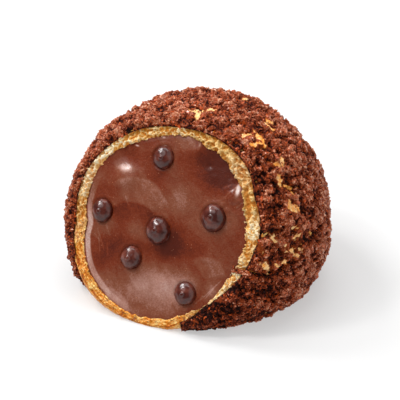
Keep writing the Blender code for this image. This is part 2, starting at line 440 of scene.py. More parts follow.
def flatEnd(turn, depthAt, shift):
    # where a layer's skin reaches the slice, moved outwards by this much, and the angle there
    angle = sliceEdge(turn, depthAt)
    flat = layerPoint(angle, turn, depthAt)[0] - sliceFoot
    flat -= sliceOut * flat.dot(sliceOut)
    return sliceFoot + flat * (1.0 + shift / flat.length), angle


def innerEnd(turn):
    return flatEnd(turn, wallDepth, ring.innerAll + aroundBy(turn, ring.innerShifts))


# the cocoa crust

crust = settings(
    columns=144, rows=53, cuts=3,
    moundHeight=0.8, moundWidth=9.0, moundLift=0.1,
    clodHeight=0.7, clodWidth=3.6, clodReach=0.8,
    clodPush=((2.6, 1.3), (1.1, 0.35)), crumbPush=((0.9, 0.4),), crackPush=((1.5, 0.4),),
    creviceDepth=0.9, creviceReach=0.16, pitDepth=0.8, pitWidth=1.7,
    crumbHeight=0.5, crumbWidth=1.25, crumbReach=0.75,
    grainHeight=0.3, grainWidth=0.7, jitter=0.13,
    edgeRag=0.3, edgeRagWidth=1.5, bareRag=3.0, bareRagWidth=4.0,
    overlap=0.12,                # how far the crust and the pastry under it run into each other
    tearDepth=0.1, tearPush=((1.3, 0.9), (0.5, 0.42)), tearWiden=1.2, tearBumps=0.4,
    foot=-1.4, footLift=0.02, bareFrom=-128.5, bareTo=-77, bareRise=0.1,
    # painted shade: stretches low on the bun, under its widest, made deeper brown where they lie in shade:
    # direction, rise, reach and share
    dark=((-62, -6, 13.0, 0.42), (-142, -6, 9.0, 0.25)),
    # where the crust is glossier and coarser, with fewer crumbs: direction, rise and reach
    glossy=((168, 42, 15.0), (-175, 12, 9.0), (105, 62, 9.0)),
    # groups of tears, where the crust has opened over pastry: direction round the bun and how far up it,
    # how far the group spreads either way, how many, length (all in degrees), half width, paleness
    tearGroups=(
        (-17, 27, 0, 0, 1, 9, 0.75, 0.7), (-28, 13, 11, 9, 11, 4, 0.47, 0.7),
        (-14, 40, 8, 7, 4, 4, 0.42, 0.4), (-13, 63, 6, 8, 4, 5, 0.5, 0.4),
        (16, 60, 7, 3, 3, 4, 0.42, 0.6), (-70, 84, 40, 1, 3, 5, 0.5, 0.6),
        (60, 45, 20, 20, 4, 5, 0.6, 0.6), (120, 35, 25, 28, 6, 5, 0.6, 0.6),
        (-172, 35, 18, 20, 4, 4, 0.5, 0.5),
    ),
    tearSeed=4, tearLean=-50, tearTurn=55,
    tearNearest=3.5,
    # a long crack that sags between its two ends: directions of the ends, its lowest place, and the bend
    crackFrom=-44, crackTo=-20, crackLowest=(-33, 2), crackBend=0.036, crackSteps=6,
    crackWidth=0.8, crackDepth=1.8,
)


def crustPlace(azimuth, rise):
    return bunPoint(radians(azimuth), radians(rise))[0]


def strewTears():
    rng = random.Random(crust.tearSeed)
    made = []
    for azimuth, rise, spreadAround, spreadUp, count, length, halfWidth, paleness in crust.tearGroups:
        for number in range(count):
            atAzimuth = azimuth + rng.uniform(-spreadAround, spreadAround)
            atRise = rise + rng.uniform(-spreadUp, spreadUp)
            lean = radians(crust.tearLean + rng.uniform(-crust.tearTurn, crust.tearTurn))
            half = length * rng.uniform(0.5, 1.2) / 2.0
            around = half * cos(lean) / max(0.1, cos(radians(atRise)))
            up = half * sin(lean)
            start = crustPlace(atAzimuth - around, atRise - up)
            end = crustPlace(atAzimuth + around, atRise + up)
            shade = min(1.0, max(0.0, paleness + rng.uniform(-0.3, 0.3)))
            made.append((start, end, halfWidth * rng.uniform(0.8, 1.2), shade))
    return made


def crackPath():
    lowAzimuth, lowRise = crust.crackLowest
    path = []
    for step in range(crust.crackSteps + 1):
        azimuth = mix(crust.crackFrom, crust.crackTo, step / crust.crackSteps)
        path.append(crustPlace(azimuth, lowRise + crust.crackBend * (azimuth - lowAzimuth) ** 2))
    return path


tears = strewTears()
shadePlaces = [(crustPlace(azimuth, rise), reach, share) for azimuth, rise, reach, share in crust.dark]
glossyPlaces = [(crustPlace(azimuth, rise), reach) for azimuth, rise, reach in crust.glossy]
crackPlaces = crackPath()


def fromSegment(point, start, end):
    # distance from a straight piece of line
    along = end - start
    share = max(0.0, min(1.0, (point - start).dot(along) / max(1e-6, along.length_squared)))
    return (point - start - along * share).length


def tearAt(point):
    # 1 in the middle of a tear and 0 outside, how pale the pastry there is, and how near the tear is
    opened, pale, close = 0.0, 0.0, 0.0
    ragged = pushed(point, crust.tearPush)
    for start, end, halfWidth, paleness in tears:
        if (point - start).length > crust.tearNearest + (end - start).length:
            continue
        beside = fromSegment(ragged, start, end) - halfWidth * crust.tearWiden
        close = max(close, 1.0 - ease((beside + 0.1) / 1.1))
        here = 1.0 - ease((beside + 0.45) / 0.9)
        if here > opened:
            opened, pale = here, paleness
    return opened, pale, close


def crackAt(point):
    if (point - crackPlaces[3]).length > 18.0:
        return 0.0
    bent = pushed(point, crust.crackPush)
    away = min(fromSegment(bent, start, end) for start, end in zip(crackPlaces, crackPlaces[1:]))
    return 1.0 - ease(away / crust.crackWidth)


def nearness(point, place, reach):
    # 1 at the place itself, fading away from it
    return exp(-((point - place).length / reach) ** 2)


def glossyAt(point):
    return min(1.0, sum(nearness(point, place, reach) for place, reach in glossyPlaces))


def crustRelief(point):
    # mounds, and the finer clods, crevices, pits and crumbs on them
    mound = crust.moundHeight * (noiseAt(point, crust.moundWidth) + crust.moundLift)
    bent = pushed(point, crust.clodPush)
    near, second = nearestOf(bent, crust.clodWidth)
    glossy = glossyAt(point)
    clod = crust.clodHeight * (1.0 + 0.5 * glossy) * clump(near, crust.clodReach, 0.6)
    broken = ease(0.5 + 1.6 * noiseAt(point, 4.0, (3.0, 9.0, 2.0)))
    crevice = crust.creviceDepth * max(broken, glossy) * (1.0 - ease((second - near) / crust.creviceReach))
    pit = crust.pitDepth * ease((noiseAt(bent, crust.pitWidth, (5.0, 1.0, 8.0)) - 0.12) / 0.35)
    near, second = nearestOf(pushed(point, crust.crumbPush), crust.crumbWidth)
    crumb = crust.crumbHeight * (1.0 - 0.4 * glossy) * clump(near, crust.crumbReach, 0.7)
    grain = crust.grainHeight * noiseAt(point, crust.grainWidth)
    return mound, clod + crumb + grain - crevice - pit - crust.crackDepth * crackAt(point)


def uncovered(point):
    # below the crust's foot, or on the bare front left
    azimuth = atan2(point.y, point.x)
    if point.z < crust.foot:
        return True
    drift = radians(crust.bareRag) * noiseAt(point, crust.bareRagWidth)
    inside = radians(crust.bareFrom) < azimuth + drift < radians(crust.bareTo)
    return inside and point.z < bun.bareTop + bun.edgeTaper


def makeCrustSheet():
    # the crust as one thin sheet of even squares, from the edge of the slice to the foot
    columns, rows = crust.columns, crust.rows
    names = ("inner", "relief", "tear", "pale", "near", "share", "turn")
    shape, placed, layers = sphereRows(columns, rows, names)
    shareAt, turnAt = layers[5:]
    outward = shape.verts.layers.float_vector["outward"]
    edges = [sliceEdge(2.0 * pi * column / columns, noDepth) for column in range(columns)]
    gone = []
    for vert, row, column in placed:
        vert[shareAt] = max(0, row - 1) / (rows - 1)
        vert[turnAt] = 2.0 * pi * column / columns
        angle = mix(edges[column], pi, vert[shareAt])
        vert.co, vert[outward] = layerPoint(angle, vert[turnAt], noDepth)
        if row == 0 or uncovered(vert.co):
            gone.append(vert)
    bmesh.ops.delete(shape, geom=gone, context="VERTS")
    ears = [vert for vert in shape.verts if len(vert.link_faces) < 2]
    bmesh.ops.delete(shape, geom=ears, context="VERTS")
    hem = [vert for vert in shape.verts if vert.is_boundary]
    lowHem = [vert for vert in hem if (vert.co - sliceFoot).dot(sliceOut) < -0.5]
    allAxes = {"use_axis_x": True, "use_axis_y": True, "use_axis_z": True}
    for step in range(3):
        bmesh.ops.smooth_vert(shape, verts=lowHem, factor=0.5, **allAxes)
    return shape, outward, layers


def crustThickness(turn, share, starts):
    # from the crust's skin to its underside, both of which start on the slice
    def underAt(azimuth, slope):
        return crustDepthNear(azimuth, slope, turn) + crust.overlap

    if turn not in starts:
        starts[turn] = sliceEdge(turn, noDepth), sliceEdge(turn, underAt)
    over, under = starts[turn]
    skin = layerPoint(mix(over, pi, share), turn, noDepth)[0]
    return layerPoint(mix(under, pi, share), turn, underAt)[0] - skin


def makeCrust(finish):
    shape, outward, (inner, relief, tear, pale, near, shareAt, turnAt) = makeCrustSheet()
    # the underside and the hem are joined up by hand too
    skin, hem = shape.faces[:], [edge for edge in shape.edges if edge.is_boundary]
    starts, under = {}, {}
    for vert in shape.verts[:]:
        under[vert] = shape.verts.new(vert.co + crustThickness(vert[turnAt], vert[shareAt], starts), vert)
        under[vert][inner] = 1.0
    for face in skin:
        shape.faces.new([under[vert] for vert in reversed(face.verts)])
    for edge in hem:
        start, end = edge.link_loops[0].vert, edge.link_loops[0].link_loop_next.vert
        shape.faces.new((end, start, under[start], under[end]))
    fineEdges = [edge for edge in shape.edges
                 if any(vert[inner] == 0.0 for face in edge.link_faces for vert in face.verts)]
    bmesh.ops.subdivide_edges(shape, edges=fineEdges, cuts=crust.cuts, use_grid_fill=True)
    for vert in shape.verts:
        if vert[inner] > 0.999:
            vert.co.z = max(crust.footLift, vert.co.z)
            continue
        point = vert.co.copy()
        away = (point - sliceFoot).dot(sliceOut)
        full = fullAt(point)
        mound, fine = crustRelief(point)
        opened, paleness, close = tearAt(point)
        rise = (mound + fine) * (1.0 - opened) * (0.12 + 0.88 * full) - crust.tearDepth * opened
        rise += crust.bareRise * (1.0 - full) + crust.tearBumps * opened * noiseAt(point, 0.65)
        # painted shade on the stretches low on the bun
        paintedShade = sum(share * nearness(point, place, reach) for place, reach, share in shadePlaces)
        rag = crust.edgeRag * noiseAt(point, crust.edgeRagWidth, (0.0, 5.0, 0.0))
        rag += 0.3 * noiseAt(point, 0.7)
        nearCut = 1.0 - ease(-away / 1.2)
        vert.co += vert[outward].normalized() * rise * (1.0 - vert[inner])
        vert.co += sliceOut * rag * nearCut * (1.0 - 0.6 * vert[inner])
        vert.co += noise.noise_vector(point / 0.37) * crust.jitter * (1.0 - vert[inner])
        vert.co.z = max(crust.footLift, vert.co.z)
        # the colour level: lower in crevices and on the stretches of painted shade, higher on crests, painted
        # shade and highlight
        vert[relief] = min(1.0, max(0.0, 0.42 + fine * 0.6 - paintedShade))
        vert[tear] = opened * (1.0 - nearCut)
        vert[pale] = paleness
        vert[near] = close
    bmesh.ops.recalc_face_normals(shape, faces=shape.faces)
    return finishPiece("crackled_cocoa_crust", shape, finish, ("craquelin_crust",))


def cocoaFinish():
    sheet = finishSheet("baked cocoa crust")
    relief = sheet.painted("relief")
    bent = sheet.bent(500.0, 0.0009)
    grains = sheet.cells(1700.0, place=bent)
    ridges = sheet.noise(1500.0, 3.0, 0.65, bent)
    height = ridges * 0.8 - grains * 0.6
    level = relief * 0.75 + height * 0.9 - 0.06
    # painted shade and highlight: near black in the crevices, pale on the crests
    colour = sheet.ramp(level, [(0.08, 28, 5, 2), (0.3, 95, 30, 10),
                                (0.52, 158, 70, 29), (0.8, 208, 136, 98)])
    rust = sheet.clamped(sheet.noise(900.0, 2.0), 0.54, 0.66, 0.0, 0.6)
    colour = sheet.mixed(rust, colour, fromScreen(172, 74, 32))
    torn = sheet.painted("tear") + (sheet.noise(1500.0, 3.0, 0.65) - 0.5) * 1.2
    golden = sheet.ramp(sheet.painted("pale") * 0.35 + sheet.noise(900.0, 3.0, 0.65) * 1.1 - 0.2,
                        [(0.14, 228, 104, 18), (0.38, 255, 170, 74),
                         (0.7, 255, 218, 156)])
    beside = sheet.painted("near") + (sheet.noise(1500.0, 3.0, 0.65) - 0.5) * 1.2
    colour = sheet.mixed(sheet.clamped(beside, 0.3, 0.8, 0.0, 0.6), colour, fromScreen(160, 70, 18))
    bare = sheet.clamped(torn, 0.34, 0.62)
    colour = sheet.mixed(bare, colour, golden)
    # painted glow: the torn pastry glows faintly, standing in for light
    paintedGlow = sheet.mixed(bare, (0.0, 0.0, 0.0), fromScreen(244, 130, 34))
    bump = sheet.bump(height, 0.0006, 1.0)
    shine = sheet.clamped(level, 0.35, 0.7, 0.0, 0.6)
    return sheet.wear(colour=colour, roughness=0.65, normal=bump, specular=0.1, coat=shine, coatRoughness=0.3,
                      glow=paintedGlow, glowStrength=0.1)


# loose crumbs on the crust

def crumbKind(seed, count, shapes, fineness, sizes, long, flat, bend, uneven, lift):
    return settings(seed=seed, count=count, shapes=shapes, fineness=fineness, sizes=sizes,
                    long=long, flat=flat, bend=bend, uneven=uneven, lift=lift)


crumbs = {
    "nuggets": crumbKind(11, 1900, 8, 2, (0.24, 0.48), (0.9, 1.5), (0.45, 0.9), 0.15, 0.3, 0.0),
    "shards": crumbKind(17, 9800, 8, 1, (0.16, 0.38), (1.0, 1.9), (0.4, 0.9), 0.3, 0.42, 0.1),
    "curls": crumbKind(23, 9800, 6, 1, (0.14, 0.28), (1.3, 2.3), (0.7, 1.2), 0.45, 0.3, 0.35),
    "grit": crumbKind(37, 9800, 5, 1, (0.1, 0.22), (0.8, 1.6), (0.7, 1.2), 0.2, 0.35, 0.7),
}
# a strip of crust across the rim
spur = settings(start=(21.4, -8.2), end=(26.6, -8.4), share=0.005, halfWidth=0.5)


def makeCrumbShapes(kind, rng):
    # a few lumpy crumbs that the scattered ones are copies of
    made = []
    for number in range(kind.shapes):
        shape = bmesh.new()
        bmesh.ops.create_icosphere(shape, subdivisions=kind.fineness, radius=1.0)
        for vert in shape.verts:
            vert.co *= 1.0 + rng.uniform(-kind.uneven, kind.uneven)
            vert.co.z += kind.bend * (vert.co.x ** 2 - 0.5)
        heights = [vert.co.z for vert in shape.verts]
        mesh = bpy.data.meshes.new(f"crumbShape{number}")
        shape.to_mesh(mesh)
        shape.free()
        made.append((mesh, heights))
    return made


def crumbGround(ground):
    # faces that crumbs lie on, how readily, and what the crust is like there
    names = ("relief", "tear", "near", "inner")
    layers = [ground.data.attributes[name].data for name in names]
    faces, weights = [], []
    for face in ground.data.polygons:
        count = len(face.vertices)
        means = [sum(layer[index].value for index in face.vertices) / count for layer in layers]
        relief, opened, close, inside = means
        if inside > 0.9:
            continue
        faces.append((face, relief, opened, close))
        fewer = (1.0 - 0.9 * ease(opened * 1.4)) * (1.0 - 0.6 * glossyAt(face.center / millimetre))
        weights.append(face.area * fewer * (0.15 + 1.6 * relief ** 2))
    return faces, weights


def scatterCrumbs(name, ground, finish):
    kind = crumbs[name]
    rng = random.Random(kind.seed)
    shapes = makeCrumbShapes(kind, rng)
    faces, weights = ground
    shape = bmesh.new()
    shadedTones, rusts = [], []
    for face, relief, opened, close in rng.choices(faces, weights=weights, k=kind.count):
        size = mix(*kind.sizes, rng.random() ** 2)
        size *= mix(1.0, 0.6, max(ease(close * 1.5), 1.0 - fullAt(face.center / millimetre)))
        place = face.center / millimetre + face.normal * size * kind.lift
        upright = face.normal.copy()
        if rng.random() < spur.share:
            share = rng.random()
            across = mix(spur.start[0], spur.end[0], share)
            up = mix(spur.start[1], spur.end[1], share) + rng.uniform(-1.0, 1.0) * spur.halfWidth
            place = onSlice(across, up, rng.uniform(0.0, 0.5))
            upright = sliceOut.copy()
        upright += Vector((rng.uniform(-0.5, 0.5), rng.uniform(-0.5, 0.5), rng.uniform(-0.5, 0.5)))
        turn = upright.to_track_quat("Z", "Y").to_matrix().to_4x4()
        turn = turn @ Matrix.Rotation(rng.uniform(0.0, 2.0 * pi), 4, "Z")
        grow = Matrix.Diagonal((size * rng.uniform(*kind.long), size, size * rng.uniform(*kind.flat), 1.0))
        mesh, heights = rng.choice(shapes)
        copy = mesh.copy()
        copy.transform(Matrix.Translation(place) @ turn @ grow)
        shape.from_mesh(copy)
        bpy.data.meshes.remove(copy)
        # painted shade and highlight: each crumb darker at its foot and lighter on top, and darker in the
        # crust's crevices
        tone = 0.72 * relief + rng.uniform(-0.18, 0.18)
        rust = rng.random() + 0.7 * close
        shadedTones += [tone + 0.3 * height for height in heights]
        rusts += [rust] * len(heights)
    for mesh, heights in shapes:
        bpy.data.meshes.remove(mesh)
    values = {"tone": shadedTones, "rust": rusts}
    return finishPiece(f"cocoa_{name}", shape, finish, (), values, smooth=False)


def crumbFinish():
    sheet = finishSheet("cocoa crumbs")
    mottle = sheet.noise(1500.0, 3.0, 0.6)
    # painted shade and highlight, carried in from the crumbs' painted level
    level = sheet.painted("tone") + mottle * 0.8 - 0.4
    colour = sheet.ramp(level, [(0.02, 30, 5, 2), (0.25, 99, 31, 10),
                                (0.5, 160, 71, 29), (0.8, 214, 146, 108)])
    rust = sheet.clamped(sheet.painted("rust") + mottle * 0.5, 0.9, 1.1, 0.0, 0.8)
    colour = sheet.mixed(rust, colour, fromScreen(192, 80, 26))
    bump = sheet.bump(sheet.noise(3000.0, 3.0, 0.7), 0.0002, 0.6)
    shine = sheet.clamped(level, 0.3, 0.7, 0.0, 1.0)
    return sheet.wear(colour=colour, roughness=0.55, normal=bump, specular=0.1, coat=shine, coatRoughness=0.2)


# the choux pastry, with its cut rim

pastry = settings(
    columns=760, skinRows=50, rimRows=26, innerRows=8, skinGather=1.35,
    rimWave=0.3, rimWaveWidth=4.0, grainHeight=0.22, grainWidth=0.45,
    foams=((1.45, 0.85, 0.5, 0.14), (0.85, 0.6, 0.6, 0.17)),
    lumpHeight=0.9, lumpWidth=1.9, knobHeight=0.5, knobWidth=0.85,
    knobPush=((0.7, 0.3),),
    fibreHeight=0.2, edgeRound=0.25, innerWander=(0.38, 1.5), outerWander=(0.3, 1.2),
    # what the rim is like around the ring: turn, spread, strength
    baked=((240, 26, 1.1), (283, 14, 1.0), (205, 10, 0.5), (352, 6, 0.25)),
    floury=((162, 11, 1.0), (45, 14, 1.0), (12, 7, 0.5), (336, 8, 0.6), (225, 7, 0.25)),
    olive=((24, 8, 1.1), (42, 9, 0.4), (68, 12, 1.2), (304, 7, 0.8), (187, 9, 0.9), (352, 5, 0.8),
              (105, 14, 0.5), (319, 7, 0.6)),
    # named hollows in the rim: both ends across and up the slice, half width, depth
    hollows=(
        (-10.5, 21.5, -8.6, 22.1, 0.42, 1.0), (-14.2, 18.6, -12.6, 19.7, 0.5, 0.8),
        (-24.4, 0.2, -24.4, -0.8, 0.42, 0.8),
        (-23.9, -3.4, -23.7, -4.8, 0.38, 0.8), (-26.2, 7.0, -23.4, 5.2, 0.16, 0.9),
        (20.4, 12.2, 21.9, 8.7, 1.0, 0.7), (21.9, 8.7, 22.7, 6.0, 0.95, 0.7),
        (22.8, 5.0, 23.0, 2.8, 0.6, 0.6),
        (6.2, 23.2, 7.4, 22.8, 0.4, 0.9), (8.6, 21.9, 9.4, 21.6, 0.45, 0.9), (2.4, 24.0, 3.2, 23.9, 0.3, 0.7),
        (-4.6, 22.6, -3.9, 22.8, 0.26, 0.6), (23.6, -2.2, 23.8, -3.0, 0.3, 0.7),
    ),
    skinWave=(0.16, 2.2),
)


def byPlace(hollows, cell=2.0):
    # the hollows near each square of the slice, so that few have to be tried
    near = {}
    for a, b, c, d, half, deep in hollows:
        start, end = Vector((a, b, 0.0)), Vector((c, d, 0.0))
        low = [min(start[axis], end[axis]) - half - 0.4 for axis in (0, 1)]
        high = [max(start[axis], end[axis]) + half + 0.4 for axis in (0, 1)]
        for column in range(int(low[0] // cell), int(high[0] // cell) + 1):
            for row in range(int(low[1] // cell), int(high[1] // cell) + 1):
                near.setdefault((column, row), []).append((start, end, half, deep))
    return near


rimHollows = byPlace(pastry.hollows)


def foamAt(flat, size, deep, openShare, wallShare):
    # one scale of bubbles: how deep the open ones go here
    bent = flat / size + noise.noise_vector(flat / (size * 0.8)) * 0.25
    distances, centres = noise.voronoi(bent)
    if noise.cell(centres[0] * 91.7) > openShare:
        return 0.0
    return deep * ease((distances[1] - distances[0]) / (2.0 * wallShare))


def rimRelief(across, up, floury, baked, cell=2.0):
    # height of the cut rim over the slice, and how deep in a bubble or how low a place is, which darkens its
    # colour as painted shade
    flat = Vector((across, up, 0.0))
    height = pastry.rimWave * noiseAt(flat, pastry.rimWaveWidth)
    height += pastry.grainHeight * noiseAt(flat, pastry.grainWidth)
    nearest = nearestOf(flat, pastry.lumpWidth)[0]
    height += pastry.lumpHeight * floury * clump(nearest, 0.7, 0.6)
    nearest = nearestOf(pushed(flat, pastry.knobPush), pastry.knobWidth)[0]
    height += pastry.knobHeight * (0.4 + 0.6 * floury) * clump(nearest, 0.75, 0.5)
    sunk = 0.0
    for size, deep, openShare, wallShare in pastry.foams:
        strength = (1.0 - 0.4 * floury) * (1.0 - 0.6 * baked)
        layer = flat + Vector((0.0, 0.0, size * 9.0))
        sunk = max(sunk, strength * foamAt(layer, size, deep, openShare, wallShare))
    for start, end, half, deep in rimHollows.get((int(across // cell), int(up // cell)), ()):
        away = fromSegment(flat, start, end) / half
        if away < 1.25:
            sunk = max(sunk, deep * (1.0 - ease(away / 1.25)))
    return height - sunk, min(1.0, sunk / 0.8 + max(0.0, 0.1 - height) * 0.8)


def wander(place, strength, width):
    return strength * noise.fractal(place / width, 0.8, 2.0, 3)


def makePastry(finish):
    columns = pastry.columns
    skinRows, rimRows, innerRows = pastry.skinRows, pastry.rimRows, pastry.innerRows
    names = ("pore", "baked", "floury", "olive", "fibre")
    shape, placed, layers = sphereRows(columns, skinRows + rimRows + innerRows, names)
    pore, baked, floury, olive, fibre = layers
    ends = []
    for column in range(columns):
        turn = 2.0 * pi * column / columns

        def skinAt(azimuth, slope, turn=turn):
            return max(0.0, crustDepthNear(azimuth, slope, turn) - crust.overlap)

        outerEnd, outerAngle = flatEnd(turn, skinAt, 0.0)
        inEnd, inAngle = innerEnd(turn)
        inward = (outerEnd - inEnd).normalized()
        inEnd += inward * wander(inEnd, *pastry.innerWander)
        outerEnd += inward * wander(outerEnd, *pastry.outerWander)
        zones = [min(1.0, max(0.0, aroundBy(turn, pastry[name]))) for name in ("baked", "floury", "olive")]
        ends.append((skinAt, outerEnd, outerAngle, inEnd, inAngle, zones))
    for vert, row, column in placed:
        turn = 2.0 * pi * column / columns
        skinAt, outerEnd, outerAngle, inEnd, inAngle, zones = ends[column]
        if row < skinRows:
            share = (1.0 - row / skinRows) ** pastry.skinGather
            place, outward = layerPoint(mix(outerAngle, pi, share), turn, skinAt)
            wave = wander(place, *pastry.skinWave)
            nearRim = 1.0 - ease(share * 60.0)
            place += outward * (wave - 0.15 * nearRim)
            place.z = max(0.0, place.z)
            vert[baked] = 1.0
            vert[fibre] = 0.5
        elif row <= skinRows + rimRows:
            share = (row - skinRows) / rimRows
            place = mix(outerEnd, inEnd, share)
            flat = place - sliceFoot
            height, sunk = rimRelief(flat.dot(sliceAcross), flat.dot(sliceUp), zones[1], zones[0])
            streak = 0.5 + 0.6 * noise.noise(Vector((18.0 * cos(turn), 18.0 * sin(turn), 9.0 * share)))
            vert[fibre] = streak * ease(share * 5.0)
            height += pastry.fibreHeight * zones[0] * (streak - 0.5)
            rounded = pastry.edgeRound * ((1.0 - ease(share * 5.0)) + (1.0 - ease((1.0 - share) * 6.0)))
            place += sliceOut * (height - rounded)
            vert[pore] = sunk
            blotch = ease(0.4 + 1.6 * noiseAt(place, 1.3, (7.0, 2.0, 4.0)))
            stained = 0.9 * ease((share - 0.8) / 0.15) * blotch
            vert[baked] = max(zones[0], 0.9 * (1.0 - ease(share * 4.5)), stained)
            vert[floury] = zones[1]
            vert[olive] = zones[2]
        else:
            share = (row - skinRows - rimRows) / innerRows
            place, outward = layerPoint(mix(inAngle, pi, share ** 1.6), turn, wallDepth)
            start = inEnd - layerPoint(inAngle, turn, wallDepth)[0]
            place += start * (1.0 - ease(share * 2.5))
            place.z = max(bun.floor - 0.35, place.z)
            vert[pore] = 1.0
        vert.co = place
    bmesh.ops.recalc_face_normals(shape, faces=shape.faces)
    return finishPiece("choux_pastry_wall", shape, finish, ("choux_shell",))


def chouxFinish():
    sheet = finishSheet("choux pastry")
    pore, baked = sheet.painted("pore"), sheet.painted("baked")
    floury, olive = sheet.painted("floury"), sheet.painted("olive")
    cloud = sheet.noise(420.0, 3.0, 0.6)
    fine = sheet.noise(1900.0, 3.0, 0.6)
    bent = sheet.bent(900.0, 0.0004)
    foam = sheet.cells(1900.0, place=bent)
    # painted shade: the colour darkens in the bubbles and low places
    lit = 1.0 - pore * 0.75 + (fine - 0.5) * 1.0 + (cloud - 0.5) * 0.5 + (foam - 0.35) * 0.3
    crumb = sheet.ramp(lit, [(0.15, 210, 126, 36), (0.42, 248, 188, 94),
                             (0.72, 255, 220, 150), (1.0, 255, 240, 208)])
    pale = sheet.ramp(lit, [(0.15, 176, 116, 72), (0.5, 228, 182, 126),
                            (0.9, 255, 236, 202)])
    crumb = sheet.mixed(floury * 0.75, crumb, pale)
    amber = sheet.ramp(lit, [(0.2, 176, 96, 10), (0.6, 192, 128, 38),
                             (1.0, 230, 184, 98)])
    crumb = sheet.mixed(olive * 0.8, crumb, amber)
    # painted glow: the bubbles and darker places glow amber, standing in for light through the pastry
    paintedGlow = sheet.ramp(lit, [(0.15, 244, 150, 34), (0.9, 120, 76, 20)])
    skin = sheet.ramp(cloud * 0.4 + fine * 0.4 + sheet.painted("fibre") * 0.2,
                      [(0.36, 176, 76, 6), (0.48, 226, 140, 32),
                       (0.6, 252, 212, 134)])
    spots = sheet.clamped(sheet.noise(620.0, 3.0, 0.6), 0.6, 0.68, 0.0, 0.85)
    skin = sheet.mixed(spots, skin, fromScreen(126, 50, 12))
    colour = sheet.mixed(baked, crumb, skin)
    bump = sheet.bump(fine * 0.8 + foam * 0.7, 0.00035, 0.9)
    roughness = sheet.clamped(fine - baked * 0.15, 0.2, 0.7, 0.3, 0.75)
    return sheet.wear(colour=colour, roughness=roughness, normal=bump, subsurface=0.2,
                      subsurfaceScale=0.0008, subsurfaceRadius=(1.0, 0.88, 0.75), specular=0.25,
                      glow=paintedGlow, glowStrength=0.09)


# the drops' places, read from the frame

def dropPlace(node):
    low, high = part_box(node)
    middle = (low + high) / (2.0 * millimetre)
    away = middle - sliceFoot
    across, up = away.dot(sliceAcross), away.dot(sliceUp)
    return across, up, (high.x - low.x) / millimetre


dropNodes = sorted(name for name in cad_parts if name.startswith("chocolate_drop"))
dropPlaces = [dropPlace(name) for name in dropNodes]


# the chocolate cream

